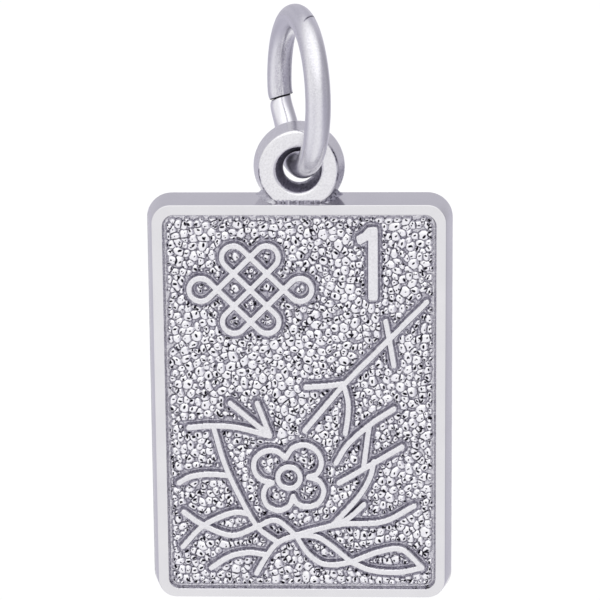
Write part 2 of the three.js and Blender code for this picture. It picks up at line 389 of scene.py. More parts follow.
@dataclass(frozen=True)
class PolishedSilver:
    """Sterling silver, cast and then buffed: near-mirror, with faint buffing lines and a soft haze."""

    name: str = "polished_sterling_silver"
    colour: str = "e4e3e5"
    shade: str = "d9d8db"
    roughness: float = 0.12
    roughness_spread: float = 0.07
    haze_mm: float = 1.6
    buffing_mm: float = 0.09
    buffing_stretch: float = 0.12
    bump: float = 0.12
    bump_mm: float = 0.004

    def material(self) -> bpy.types.Material:
        """Builds the finish.

        Returns:
            A metal whose haze varies over haze_mm, with buffing lines buffing_mm apart.
        """
        made = new_finish(self.name)
        tree = made.node_tree
        place = add_node(tree, "ShaderNodeTexCoord").outputs["Object"]
        haze = noise(tree, place, self.haze_mm, detail=3.0, roughness=0.55)
        colour = mix_colours(tree, haze, linear(self.colour), linear(self.shade))
        hazy = self.roughness + self.roughness_spread
        rough = map_range(tree, haze, NOISE_SPAN, (self.roughness, hazy), eased=False)
        stretch = add_node(tree, "ShaderNodeMapping", inputs={
            "Vector": place, "Scale": (1.0, 1.0, self.buffing_stretch)})
        lines = noise(tree, stretch.outputs["Vector"], self.buffing_mm, detail=4.0)
        metal(tree, colour, rough, lines, self.bump, self.bump_mm)
        return made


@dataclass(frozen=True)
class AntiquedSilver:
    """Silver dipped in an oxidising bath and buffed back: bright on what stands up, dark in the grooves."""

    name: str = "antiqued_cast_silver"
    bright: str = "eeedf1"
    buffed: str = "e3e2e5"
    buffed_at: float = 0.12
    film: str = "a19eac"
    film_at: float = 0.5
    oxide: str = "16151a"
    roughness: float = 0.16
    oxide_roughness: float = 0.5
    mottle_mm: float = 0.07
    mottle: Span = (0.4, 1.5)
    grain_mm: float = 0.05
    grain: float = 0.3
    grain_depth_mm: float = 0.006

    def material(self) -> bpy.types.Material:
        """Builds the finish.

        Returns:
            A metal that goes by the mesh's attribute from bright through a violet film to oxide: the
            attribute holds real patina in the hollows, and on some pieces painted shade and painted dark
            reflections too.
        """
        made = new_finish(self.name)
        tree = made.node_tree
        place = add_node(tree, "ShaderNodeTexCoord").outputs["Object"]
        # this attribute holds real patina and, on some pieces, painted shade and painted dark reflections
        tarnish_and_painted_shade = add_node(tree, "ShaderNodeAttribute", {"attribute_name": "tarnish_and_painted_shade"}).outputs["Fac"]
        mottle = noise(tree, place, self.mottle_mm, detail=2.0, roughness=0.6)
        spread = map_range(tree, mottle, NOISE_SPAN, self.mottle, eased=False)
        dark = add_node(tree, "ShaderNodeMath", {"operation": "MULTIPLY", "use_clamp": True}, {
            0: tarnish_and_painted_shade, 1: spread}).outputs["Value"]
        ramp = add_node(tree, "ShaderNodeValToRGB", inputs={"Fac": dark})
        stops = ramp.color_ramp.elements
        stops[0].color = linear(self.bright)
        stops[1].color = linear(self.oxide)
        stops.new(self.buffed_at).color = linear(self.buffed)
        stops.new(self.film_at).color = linear(self.film)
        rough = map_range(tree, dark, (0.0, 1.0), (self.roughness, self.oxide_roughness), eased=False)
        grain = noise(tree, place, self.grain_mm, detail=3.0)
        metal(tree, ramp.outputs["Color"], rough, grain, self.grain, self.grain_depth_mm)
        return made


@dataclass(frozen=True)
class LightTent:
    """Soft white light from all round: full in front, greyer behind and to the right, stronger overhead.

    Each span is the part of a direction's length along an axis over which the level changes.
    """

    front: float = 1.03
    back: float = 0.73
    depth_span: Span = (-0.35, 0.6)
    right: float = 0.6
    right_span: Span = (0.42, 0.95)
    overhead: float = 1.38
    overhead_way: tuple[float, float, float] = (0.0, -0.35, 0.94)
    overhead_span: Span = (0.45, 0.95)
    shade: str = "eeecf7"

    def level(self, tree: bpy.types.NodeTree, way: Socket) -> Socket:
        """Adds nodes for the light's level in a direction.

        Args:
            tree: Node tree that gets the nodes.
            way: Socket with the direction, of length 1.

        Returns:
            Socket with the level.
        """
        parts = add_node(tree, "ShaderNodeSeparateXYZ", inputs={"Vector": way})
        along = map_range(tree, parts.outputs["Y"], self.depth_span, (self.front, self.back))
        aside = map_range(tree, parts.outputs["X"], self.right_span, (1.0, self.right))
        up = add_node(tree, "ShaderNodeVectorMath", {"operation": "DOT_PRODUCT"}, {
            0: way, 1: self.overhead_way})
        above = map_range(tree, up.outputs["Value"], self.overhead_span, (1.0, self.overhead))
        return calculate(tree, "MULTIPLY", calculate(tree, "MULTIPLY", along, aside), above)

    def tint(self, tree: bpy.types.NodeTree, level: Socket) -> Socket:
        """Adds nodes for the light's colour at a level: white where it is full, cool where it is in shade.

        Args:
            tree: Node tree that gets the nodes.
            level: Socket with the level.

        Returns:
            Socket with the colour.
        """
        share = map_range(tree, level, (self.back, self.front), (0.0, 1.0), eased=False)
        return mix_colours(tree, share, linear(self.shade), linear(WHITE))


@dataclass(frozen=True)
class PaperFloor:
    """White paper sweep: plain white in a lane from front to back, with its tent's shade painted into its
    colour to both sides.
    """

    tent: LightTent
    name: str = "white_paper_sweep"
    paper: str = "bcbcbc"
    glow: float = 0.53
    lane: float = 0.21
    lane_end: float = 0.3
    far: float = 500.0
    far_end: float = 1100.0

    def material(self) -> bpy.types.Material:
        """Builds the finish.

        The lane is where the direction from the charm to the floor leans to the side by less than lane, and
        it fades out by lane_end, and between far and far_end from the charm. There half of the white is matt
        paper, which takes the object's shadow, and half is a glow that the lens, metal and glass see alike.

        Returns:
            A matt white that still takes the object's shadow.
        """
        made = new_finish(self.name)
        tree = made.node_tree
        place = add_node(tree, "ShaderNodeTexCoord").outputs["Object"]
        unit = add_node(tree, "ShaderNodeVectorMath", {"operation": "NORMALIZE"}, {0: place})
        way = unit.outputs["Vector"]
        across = add_node(tree, "ShaderNodeSeparateXYZ", inputs={"Vector": way}).outputs["X"]
        aside = calculate(tree, "ABSOLUTE", across)
        lane = map_range(tree, aside, (self.lane, self.lane_end), (1.0, 0.0))
        away = add_node(tree, "ShaderNodeVectorMath", {"operation": "LENGTH"}, {0: place}).outputs["Value"]
        close = map_range(tree, away, (self.far * MM, self.far_end * MM), (1.0, 0.0))
        white = calculate(tree, "MULTIPLY", lane, close)
        level = self.tent.level(tree, way)
        # painted shade: outside the lane the paper's colour follows the tent's light level
        share = map_range(tree, level, (0.0, self.tent.front), (0.0, 1.0), eased=False)
        shaded = add_node(tree, "ShaderNodeVectorMath", {"operation": "SCALE"}, {
            0: self.tent.tint(tree, level), "Scale": share})
        colour = mix_colours(tree, white, shaded.outputs["Vector"], linear(self.paper))
        rays = add_node(tree, "ShaderNodeLightPath")
        seen = calculate(tree, "MAXIMUM", rays.outputs["Is Camera Ray"], rays.outputs["Is Glossy Ray"])
        seen = calculate(tree, "MAXIMUM", seen, rays.outputs["Is Transmission Ray"])
        lit = calculate(tree, "MULTIPLY", seen, white)
        glow = calculate(tree, "MULTIPLY", lit, self.glow)
        paper = add_node(tree, "ShaderNodeBsdfDiffuse", inputs={"Color": colour})
        light = add_node(tree, "ShaderNodeEmission", inputs={"Color": linear(WHITE), "Strength": glow})
        both = add_node(tree, "ShaderNodeAddShader", inputs={
            0: paper.outputs["BSDF"], 1: light.outputs["Emission"]})
        add_node(tree, "ShaderNodeOutputMaterial", inputs={"Surface": both.outputs["Shader"]})
        return made


@dataclass
class TileCasting:
    """Cast plate: drafted sides, a flat raised rim and a plain back, all sizes in millimetres.

    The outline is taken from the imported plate's box, which ends where the back edge is broken. The supports
    are rings of points beside an edge that keep the flat next to it flat, as shares of the rim and the edge.
    """

    draft: float = 0.29
    corner_radius: float = 1.04
    least_radius: float = 0.2
    rim: float = 0.39
    rim_left: float = 0.415
    rim_bottom: float = 0.33
    rim_support: float = 0.2
    recess_radius: float = 0.48
    front_edge: float = 0.028
    back_edge: float = 0.06
    edge_support: float = 1.6
    cad_back_break: float = 0.12
    edge_steps: int = 6
    low: Array = field(init=False)
    high: Array = field(init=False)

    def __post_init__(self) -> None:
        """Reads the plate's box from the frame."""
        low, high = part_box("tile_plate")
        self.low = np.array(low) / MM
        self.high = np.array(high) / MM

    @property
    def thickness(self) -> float:
        """Depth from the rim's face to the back."""
        return float(self.high[1] - self.low[1])

    @property
    def front_y(self) -> float:
        """Depth of the rim's face."""
        return float(self.low[1])

    @property
    def centre_z(self) -> float:
        """Height of the plate's middle."""
        return float(self.low[2] + self.high[2]) / 2

    @property
    def half_back(self) -> Array:
        """Half width and half height where the drafted sides would meet the back."""
        broken = self.draft * self.cad_back_break / self.thickness
        return np.array([self.high[0] - self.low[0], self.high[2] - self.low[2]]) / 2 + broken

    @property
    def half_recess(self) -> Array:
        """Half width and half height of the recess mouth."""
        rims = np.array([self.rim + self.rim_left, self.rim + self.rim_bottom]) / 2
        return self.half_back - self.draft - rims

    @property
    def recess_shift(self) -> Array:
        """Middle of the recess mouth from the plate's middle, across and up."""
        return np.array([self.rim_left - self.rim, self.rim_bottom - self.rim]) / 2

    def section(self, depth: float, inset: float) -> Array:
        """Ring of the plate at a depth, drawn in from the drafted side.

        Args:
            depth: Depth behind the rim's face.
            inset: Distance in from the side.

        Returns:
            Points, shape (n, 3).
        """
        shrink = self.draft * (1 - depth / self.thickness) + inset
        half = self.half_back - shrink
        outline = rounded_rectangle(half[0], half[1], max(self.corner_radius - shrink, self.least_radius))
        return self.placed(outline, depth)

    def placed(self, outline: Array, depth: float) -> Array:
        """Puts an outline on the plate.

        Args:
            outline: Points across and up from the plate's middle, shape (n, 2).
            depth: Depth behind the rim's face.

        Returns:
            Points, shape (n, 3).
        """
        y = np.full(len(outline), self.front_y + depth)
        return np.stack([outline[:, 0], y, outline[:, 1] + self.centre_z], -1)

    def build(self, finish: bpy.types.Material) -> bpy.types.Object:
        """Carries the side profile round the plate's outline: rim, rounded edge, draft, rounded edge, back.

        A rounded edge of radius e leaves the face e in from the side and meets the side e behind the face:
        at angle a its inset is e (1 - sin a) and its depth e (1 - cos a).

        Args:
            finish: Material of the plate.

        Returns:
            The plate without its relief face.
        """
        mouth = self.half_recess
        shift = self.recess_shift
        inner = [self.placed(rounded_rectangle(*(mouth + grow), self.recess_radius + grow) + shift, 0.0)
                 for grow in (0.0, self.rim * self.rim_support)]
        angles = np.linspace(0.0, math.pi / 2, self.edge_steps)
        first, last = self.front_edge, self.back_edge
        support = self.section(0.0, first * self.edge_support)
        front = [self.section(first * (1 - math.cos(a)), first * (1 - math.sin(a))) for a in angles]
        back = [self.section(self.thickness - last * (1 - math.sin(a)), last * (1 - math.cos(a)))
                for a in angles]
        flat = self.section(self.thickness, last * self.edge_support)
        rings = [*inner, support, *front, *back, flat]
        count = len(rings[0])
        quads = grid_quads(len(rings), count, wrap_columns=True)
        cap = np.arange(count) + (len(rings) - 1) * count
        piece = add_piece("tile_casting", np.concatenate(rings), quads, [cap])
        piece.data.materials.append(finish)
        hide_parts("tile_plate")
        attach(piece, "tile")
        return piece


@dataclass
class FlowerDrawing:
    """Raised strokes of the face on a drawing grid over the recess: columns across, rows up."""

    columns: float = 100.0
    rows: float = 138.0
    stroke: float = 0.2
    branches: list[list[GridPoint]] = field(default_factory=lambda: [
        [(96.5, 106.5), (66, 76.5)],
        [(81.5, 99.5), (83, 92), (84.5, 83.5)],
        [(52, 75.5), (60, 76), (66, 76.8)],
        [(66, 76.5), (51.5, 59.5)],
        [(66, 76.5), (67.6, 70), (67.4, 64), (66.5, 58.5)],
        [(24, 69.5), (38, 58)],
        [(34, 69.5), (38.5, 58)],
        [(8.5, 60.5), (17, 61.2), (27, 60.5), (38.5, 57.5)],
        [(17.7, 60.8), (21.5, 47.5), (27, 35), (33.5, 23.7), (41, 17.7)],
        [(4.5, 40), (9, 42.3), (16, 43.2), (23.3, 42.7)],
        [(6, 29), (13.5, 24), (24, 20.3), (33.5, 23.7), (40.5, 26), (47.8, 20.5)],
        [(47.8, 20.5), (52, 14), (57, 10), (62, 9.3), (68.5, 10.3)],
        [(5.5, 16), (13.5, 24), (24, 28.7), (30.3, 28.5)],
        [(16, 8), (23, 12.3), (30, 13.8), (36.8, 13)],
        [(33, 6), (36.5, 12), (41, 17.5), (48, 20.4), (64, 24.5), (80, 25.5), (92, 31.5)],
        [(48, 20.4), (55, 20), (60, 17.3), (68.5, 10.3)],
        [(68.5, 10.3), (79, 14.3), (87.5, 15), (95, 8.3)],
        [(68.5, 10.3), (76, 7.2), (86, 6.5), (95, 8.3)],
        [(61.5, 24.2), (71, 34.5), (75.5, 42), (77, 48)],
        [(64.5, 24.8), (69, 28), (73.3, 32)],
        [(64, 40), (87.5, 53.5)],
        [(73.3, 46), (74.2, 53), (75.3, 61)],
        [(63, 47.5), (67.5, 54.5), (76, 62), (84.5, 67.5)],
    ])
    petals: list[list[GridPoint]] = field(default_factory=lambda: [
        [(44.3, 49.3), (47, 53), (51.5, 54.2), (56, 51.8), (57.6, 47.5), (56, 43.6), (52.7, 42.2)],
        [(52.7, 42.2), (56.6, 40.8), (58.4, 37), (56.4, 32.6), (52, 31.1), (48.6, 32.3), (47, 35)],
        [(47, 35), (45.4, 31.4), (41.5, 29.7), (37.5, 31.4), (35.9, 35), (36.8, 38.4), (39.3, 40.1)],
        [(39.3, 40.1), (35.3, 41.2), (32.6, 44.7), (33, 49), (36.6, 51.8), (41, 51.8), (44.3, 49.3)],
    ])
    blossom_centre: GridPoint = (45.5, 42.0)
    blossom_eye: float = 0.46
    knot_centre: GridPoint = (32.0, 111.0)
    knot_pitch: float = 0.95
    numeral_bar: tuple[float, float, float, float] = (75.2, 107.3, 78.6, 133.4)
    numeral_flag: list[GridPoint] = field(default_factory=lambda: [
        (77.6, 132.8), (75.2, 132.8), (73.7, 131.1), (71.4, 129.8),
        (71.8, 128.1), (72.4, 128.0), (75.8, 130.0),
    ])
    numeral_round: float = 0.08
    flag_round: float = 0.06
    curve_steps: int = 14
    eye_points: int = 49
    loop_points: int = 25
    reach: float = 1.0

    def on_face(self, points: list[GridPoint], half: Array) -> Array:
        """Drawing grid points as places on the face, in millimetres from its middle."""
        grid = np.array(points, float)
        return (grid / [self.columns, self.rows] - 0.5) * 2 * half

    def knot(self, half: Array) -> Array:
        """Endless knot: six round loops in turn, whose straight joins are the strands, turned by an eighth.

        Each loop has its centre, across and up, and the angles in half turns where it starts and stops.

        Args:
            half: Half width and half height of the recess.

        Returns:
            One closed line of points.
        """
        loop = self.knot_pitch / 2
        end = self.knot_pitch + loop
        arcs = [(-end, -loop, -0.5, -1.5), (end, loop, -0.5, 0.5), (-end, end, -0.5, -2.0),
                (-loop, -end, 1.0, 2.0), (loop, end, 1.0, 0.0), (end, -end, 1.0, 2.5)]
        share = np.linspace(0.0, 1.0, self.loop_points)
        path = []
        for x, z, start, stop in arcs:
            angle = (start + (stop - start) * share) * math.pi
            path.append(np.stack([x + loop * np.cos(angle), z + loop * np.sin(angle)], -1))
        line = np.concatenate([*path, path[0][:1]])
        slant = math.sqrt(0.5)
        turned = line @ np.array([[slant, slant], [-slant, slant]])
        return turned + self.on_face([self.knot_centre], half)

    def lines(self, half: Array) -> list[Array]:
        """Centre lines of every stroke of even width.

        Args:
            half: Half width and half height of the recess.

        Returns:
            One array of points for each stroke.
        """
        drawn = [self.on_face(points, half) for points in [*self.branches, *self.petals]]
        curves = [points if len(points) == 2 else spline(points, self.curve_steps) for points in drawn]
        turn = np.linspace(0.0, 2 * math.pi, self.eye_points)
        ring = self.blossom_eye * np.stack([np.cos(turn), np.sin(turn)], -1)
        return [*curves, ring + self.on_face([self.blossom_centre], half), self.knot(half)]

    def distance(self, x: Array, z: Array, half: Array) -> Array:
        """Distance from each place to the nearest stroke's edge, negative on a stroke.

        The distance to a segment from a to b is the length of p - a - t (b - a), with t the clipped share
        (p - a) . (b - a) / |b - a| squared, and the stroke's edge lies half its width from its centre line.

        Args:
            x: Places across the face, shape (rows, columns), even along each row.
            z: Places up the face, even along each column.
            half: Half width and half height of the recess.

        Returns:
            Distances in millimetres, exact within the reach of a stroke.
        """
        found = np.full(x.shape, self.reach)
        for line in self.lines(half):
            for a, b in zip(line[:-1], line[1:]):
                low = np.minimum(a, b) - self.reach
                high = np.maximum(a, b) + self.reach
                rows = slice(*np.searchsorted(z[:, 0], [low[1], high[1]]))
                columns = slice(*np.searchsorted(x[0], [low[0], high[0]]))
                away = segment_distance(x[rows, columns], z[rows, columns], a, b) - self.stroke / 2
                found[rows, columns] = np.minimum(found[rows, columns], away)
        return np.minimum(found, self.numeral(x, z, half))

    def numeral(self, x: Array, z: Array, half: Array) -> Array:
        """Distance to the numeral: a bar with a pointed flag at its top left, negative on it.

        Args:
            x: Places across the face.
            z: Places up the face.
            half: Half width and half height of the recess.

        Returns:
            Distances in millimetres.
        """
        left, bottom, right, top = self.numeral_bar
        corners = self.on_face([(left, bottom), (right, top)], half)
        middle = corners.mean(axis=0)
        size = (corners[1] - corners[0]) / 2
        bar = -rounded_box_depth(x - middle[0], z - middle[1], size[0], size[1], self.numeral_round)
        flag = polygon_distance(x, z, self.on_face(self.numeral_flag, half)) - self.flag_round
        return np.minimum(bar, flag)


def segment_distance(x: Array, z: Array, a: Array, b: Array) -> Array:
    """Distance to a straight segment.

    Args:
        x: Places across.
        z: Places up.
        a: Start of the segment.
        b: End of the segment.

    Returns:
        Distances from the segment.
    """
    run = b - a
    px, pz = x - a[0], z - a[1]
    t = np.clip((px * run[0] + pz * run[1]) / max(float(run @ run), TINY), 0, 1)
    return np.hypot(px - t * run[0], pz - t * run[1])


def polygon_distance(x: Array, z: Array, corners: Array) -> Array:
    """Distance to a closed polygon, negative inside, by the crossing rule and the nearest edge.

    Args:
        x: Places across.
        z: Places up.
        corners: Corner points, shape (n, 2).

    Returns:
        Signed distances.
    """
    nearest = np.full(x.shape, np.inf)
    inside = np.zeros(x.shape, bool)
    for a, b in zip(corners, np.roll(corners, -1, axis=0)):
        nearest = np.minimum(nearest, segment_distance(x, z, a, b))
        crosses = (a[1] > z) != (b[1] > z)
        climb = b[1] - a[1]
        reach = a[0] + (z - a[1]) * (b[0] - a[0]) / (climb if climb else TINY)
        inside ^= crosses & (x < reach)
    return np.where(inside, -nearest, nearest)


@dataclass
class DistanceField:
    """Distances from what stands up, sampled on an even grid over the face."""

    x0: float
    z0: float
    cell: float
    values: Array


@dataclass
class PebbledGround:
    """Cast nuggets of the recess floor: rounded domes that run into one another, with shallow pits on them
    that are painted near-black as dark reflections.
    """

    pitch: float = 0.335
    jitter: float = 0.54
    rounds: int = 1
    overlap: float = 1.08
    radius_spread: float = 0.13
    height: float = 0.18
    height_spread: float = 0.14
    dome_power: float = 2.6
    tilt: float = 0.25
    stretch: float = 0.25
    least: float = 0.07
    margin: float = 0.13
    pits_and_reflections: int = 2
    pit_length: float = 0.07
    pit_width: float = 0.037
    pit_depth: float = 0.02
    pit_offset: float = 0.07
    pit_size: float = 0.8
    pit_step: float = 0.65
    pit_spread: float = 0.5
    pit_least: float = 0.001
    pit_edge: Span = (0.7, 1.2)
    outline: float = 0.82
    outline_spread: float = 0.22
    outline_lead: float = 0.065
    skirt: float = 0.034
    skirt_share: float = 0.55
    border: int = 3
    row_reach: int = 2
    column_reach: int = 3
    coarse: int = 2
    seed: int = 11

    @property
    def row_pitch(self) -> float:
        """Distance between the rows of the staggered lattice."""
        return self.pitch * math.sqrt(0.75)

    def near(self, x: Array, z: Array, half: Array, shape: tuple[int, int]) -> Iterator[tuple[Array, Array]]:
        """Goes through the lattice round each place, one neighbour at a time.

        Args:
            x: Places across the face.
            z: Places up the face.
            half: Half width and half height of the recess.
            shape: Rows and columns of the lattice.

        Yields:
            Row and column of one neighbour of each place.
        """
        base_r = np.rint((z + half[1]) / self.row_pitch).astype(int) + self.border
        base_c = np.rint((x + half[0]) / self.pitch).astype(int) + self.border
        for dr in range(-self.row_reach, self.row_reach + 1):
            for dc in range(-self.column_reach, self.column_reach):
                yield np.clip(base_r + dr, 0, shape[0] - 1), np.clip(base_c + dc, 0, shape[1] - 1)

    def relaxed(self, x: Array, z: Array, half: Array, raised: DistanceField) -> tuple[Array, Array, Array]:
        """Spreads nuggets over the open ground: each moves to the middle of the ground nearest to it.

        Args:
            x: Places of the nuggets across the face.
            z: Places of the nuggets up the face.
            half: Half width and half height of the recess.
            raised: Distances from what stands up.

        Returns:
            The moved places, and the radius of a disc as large as each nugget's ground.
        """
        spacing = self.coarse * raised.cell
        rows, columns = np.nonzero(raised.values[::self.coarse, ::self.coarse] > self.margin)
        sx = raised.x0 + spacing * columns
        sz = raised.z0 + spacing * rows
        area = np.zeros(x.size)
        for _ in range(self.rounds):
            best = np.full(sx.shape, np.inf)
            owner = np.zeros(sx.shape, int)
            for r, c in self.near(sx, sz, half, x.shape):
                away = np.hypot(sx - x[r, c], sz - z[r, c])
                owner = np.where(away < best, r * x.shape[1] + c, owner)
                best = np.minimum(best, away)
            area = np.bincount(owner, minlength=x.size)
            count = np.maximum(area, 1)
            x = np.where(area > 0, np.bincount(owner, sx, x.size) / count, NOWHERE_MM).reshape(x.shape)
            z = np.where(area > 0, np.bincount(owner, sz, x.size) / count, NOWHERE_MM).reshape(x.shape)
        return x, z, np.sqrt(area.reshape(x.shape) / math.pi) * spacing

    def nuggets(self, half: Array, raised: DistanceField) -> dict[str, Array]:
        """Places and shapes of the nuggets, from a jittered, staggered lattice.

        Args:
            half: Half width and half height of the recess.
            raised: Distances from what stands up.

        Returns:
            Lattice arrays: place, stretched-distance matrix, radius, outline, tilt, height and pits.
        """
        random = np.random.default_rng(self.seed)
        rows = int(2 * half[1] / self.row_pitch) + 2 * self.border + 1
        columns = int(2 * half[0] / self.pitch) + 2 * self.border + 1
        r, c = np.meshgrid(np.arange(rows), np.arange(columns), indexing="ij")

        def spread(amount: float) -> Array:
            """Even random numbers from -amount to amount, one for each nugget."""
            return random.uniform(-amount, amount, r.shape)

        x = -half[0] + (c - self.border + 0.5 * (r % 2)) * self.pitch + spread(self.pitch * self.jitter)
        z = -half[1] + (r - self.border) * self.row_pitch + spread(self.pitch * self.jitter)
        x, z, radius = self.relaxed(x, z, half, raised)
        keep = radius > self.least
        angle = spread(math.pi)
        long = np.exp(spread(self.stretch))
        cos, sin = np.cos(angle), np.sin(angle)
        marks = {}
        for number in range(self.pits_and_reflections):
            marks[f"pit_x{number}"] = spread(self.pit_offset)
            marks[f"pit_z{number}"] = spread(self.pit_offset)
            marks[f"pit_turn{number}"] = spread(math.pi)
            size = self.pit_size - self.pit_step * number + spread(self.pit_spread)
            marks[f"pit_size{number}"] = np.maximum(size, self.pit_least)
        return marks | {
            "x": np.where(keep, x, NOWHERE_MM),
            "z": np.where(keep, z, NOWHERE_MM),
            "xx": (long * cos) ** 2 + (sin / long) ** 2,
            "xz": (long ** 2 - long ** -2) * cos * sin,
            "zz": (long * sin) ** 2 + (cos / long) ** 2,
            "radius": self.overlap * radius * np.exp(spread(self.radius_spread)),
            "outline": self.outline + spread(self.outline_spread),
            "tx": spread(self.tilt),
            "tz": spread(self.tilt),
            "height": self.height * (1 - self.height_spread + spread(self.height_spread)),
        }

    def domes(self, x: Array, z: Array, half: Array, raised: DistanceField) -> tuple[Array, Array, Array]:
        """Height of the nuggets above the floor, their outlines, and their pits.

        A nugget of height h and radius r rises to h sqrt(1 - (d / r) to the dome's power), with d the
        stretched distance from its middle, plus its tilt. Each place takes the highest nugget. The outline
        lies where that one stands little above the next, and more faintly on the nugget's skirt, the last
        of its radius. A pit is an ellipse about its own place on the nugget, and the nearest pit counts.

        Args:
            x: Places across the face.
            z: Places up the face.
            half: Half width and half height of the recess.
            raised: Distances from what stands up.

        Returns:
            Heights in millimetres, outlines from 0 to about 1, and pits from 0 to 1.
        """
        lattice = self.nuggets(half, raised)
        first, second, pits_and_reflections, strength, skirts = (np.zeros(x.shape) for _ in range(5))
        for r, c in self.near(x, z, half, lattice["x"].shape):
            own = {key: values[r, c] for key, values in lattice.items()}
            dx, dz = x - own["x"], z - own["z"]
            away = np.sqrt(own["xx"] * dx * dx + 2 * own["xz"] * dx * dz + own["zz"] * dz * dz)
            share = np.sqrt(np.clip(1 - (away / own["radius"]) ** self.dome_power, 0, 1))
            rise = share * np.maximum(own["height"] + own["tx"] * dx + own["tz"] * dz, 0)
            reach = np.full(x.shape, np.inf)
            for number in range(self.pits_and_reflections):
                turn, size = own[f"pit_turn{number}"], own[f"pit_size{number}"]
                px, pz = dx - own[f"pit_x{number}"], dz - own[f"pit_z{number}"]
                along = (px * np.cos(turn) + pz * np.sin(turn)) / self.pit_length
                across = (pz * np.cos(turn) - px * np.sin(turn)) / self.pit_width
                reach = np.minimum(reach, np.hypot(along, across) / size)
            higher = rise > first
            second = np.where(higher, first, np.maximum(second, rise))
            pits_and_reflections = np.where(higher, 1 - smoothstep(*self.pit_edge, reach), pits_and_reflections)
            strength = np.where(higher, own["outline"], strength)
            skirts = np.where(higher, 1 - smoothstep(0.0, self.skirt, own["radius"] - away), skirts)
            first = np.where(higher, rise, first)
        meeting = 1 - smoothstep(0.0, self.outline_lead, first - second)
        outline = strength * np.maximum(meeting, self.skirt_share * skirts)
        return first - self.pit_depth * pits_and_reflections, outline, pits_and_reflections


@dataclass
class ReliefFace:
    """Recessed face of the tile: raised strokes flush with the rim, a smooth moat and pebbled ground."""

    casting: TileCasting
    drawing: FlowerDrawing
    ground: PebbledGround
    cell: float = 0.023
    snap_share: float = 0.55
    least_slope: float = 0.5
    depth: float = 0.33
    wall: float = 0.08
    wall_power: float = 1.8
    moat: float = 0.15
    moat_fade: float = 0.05
    buffed: float = 0.12
    buffed_share: float = 0.25
    film: float = 0.44
    border_film: float = 0.31
    film_span: Span = (0.03, 0.1)
    outline_tarnish: float = 1.7
    # painted reflection: the nuggets' pits are painted near-black to stand for dark reflections
    pit_painted_reflection: float = 2.0
    flap: float = 0.04
    flap_slope: float = 0.5
    lip: float = 0.003
    x: Array = field(init=False)
    z: Array = field(init=False)
    inside: Array = field(init=False)
    strokes: Array = field(init=False)
    edge: Array = field(init=False)
    raised: DistanceField = field(init=False)

    def prepare(self) -> None:
        """Lays the grid and works out each place's distance from what stands up."""
        half = self.casting.half_recess
        counts = np.ceil((half + self.flap) / self.cell).astype(int)
        xs = np.arange(-counts[0], counts[0] + 1) * self.cell
        zs = np.arange(-counts[1], counts[1] + 1) * self.cell
        self.x, self.z = np.meshgrid(xs, zs)
        self.inside = rounded_box_depth(self.x, self.z, half[0], half[1], self.casting.recess_radius)
        self.strokes = self.drawing.distance(self.x, self.z, half)
        self.edge = np.minimum(self.strokes, self.inside)
        self.raised = DistanceField(xs[0], zs[0], self.cell, self.edge)

    def snap(self) -> None:
        """Moves grid places close to a stroke's edge onto it, along the slope of the distance."""
        slope_z, slope_x = np.gradient(self.strokes, self.cell)
        steep = np.maximum(np.hypot(slope_x, slope_z), self.least_slope)
        near = np.abs(self.strokes) < self.snap_share * self.cell
        shift = np.where(near, -self.strokes, 0.0)
        self.x = self.x + shift * slope_x / steep ** 2
        self.z = self.z + shift * slope_z / steep ** 2
        self.strokes = np.where(near, 0.0, self.strokes)
        self.edge = np.minimum(self.strokes, self.inside)

    def surface(self) -> tuple[Array, Array]:
        """Depth behind the rim's face and tarnish of each place on the grid.

        From a raised edge the wall falls as depth (1 - (1 - t) to the wall's power), with t the share of the
        wall's width. Past the moat the nuggets rise from the floor. Outside the recess the face ends in a
        narrow flap just behind the rim.

        Returns:
            Depths in millimetres, and tarnish from 0, bright, to 1 and more, black, with painted dark
            reflections on the nuggets' pits.
        """
        half = self.casting.half_recess
        domes, outline, pits_and_reflections = self.ground.domes(self.x, self.z, half, self.raised)
        t = np.clip(self.edge / self.wall, 0, 1)
        floor = self.depth * (1 - (1 - t) ** self.wall_power)
        risen = smoothstep(self.moat - self.moat_fade, self.moat + self.moat_fade, self.edge)
        depth = np.maximum(floor - domes * risen, 0.0)
        depth = np.where(self.inside < 0, self.lip - self.inside * self.flap_slope, depth)
        film = np.where(self.strokes < self.inside, self.film, self.border_film)
        low = film * (1 - smoothstep(*self.film_span, domes * risen))
        outlines = self.outline_tarnish * outline * risen
        # the pits' near-black is a painted dark reflection; the film and outlines are patina in the hollows
        tarnish_and_painted_shade = np.maximum.reduce([low, outlines, self.pit_painted_reflection * pits_and_reflections * risen])
        return depth, np.where(self.edge <= self.buffed_share * self.cell, self.buffed, tarnish_and_painted_shade)

    def build(self, finish: bpy.types.Material) -> list[bpy.types.Object]:
        """Makes the face as one even surface cut into bands.

        Args:
            finish: Material of the face.

        Returns:
            One piece for each band, from the bottom up.
        """
        self.prepare()
        self.snap()
        depth, tarnish_and_painted_shade = self.surface()
        y = self.casting.front_y + depth
        centre = self.casting.recess_shift + [0.0, self.casting.centre_z]
        points = np.stack([self.x + centre[0], y, self.z + centre[1]], -1)
        kept = self.inside > -self.flap
        rows = np.linspace(0, len(points) - 1, len(FaceBand) + 1).round().astype(int)
        pieces = []
        for band, start, stop in zip(FaceBand, rows[:-1], rows[1:]):
            part = slice(start, stop + 1)
            shape = points[part].shape[:2]
            quads = grid_quads(*shape)
            quads = quads[kept[part].ravel()[quads].all(axis=1)]
            used, numbers = np.unique(quads, return_inverse=True)
            piece = add_piece(band.value, points[part].reshape(-1, 3)[used], numbers.reshape(-1, 4),
                              attributes={"tarnish_and_painted_shade": tarnish_and_painted_shade[part].ravel()[used]})
            piece.data.materials.append(finish)
            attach(piece, "tile")
            pieces.append(piece)
        return pieces


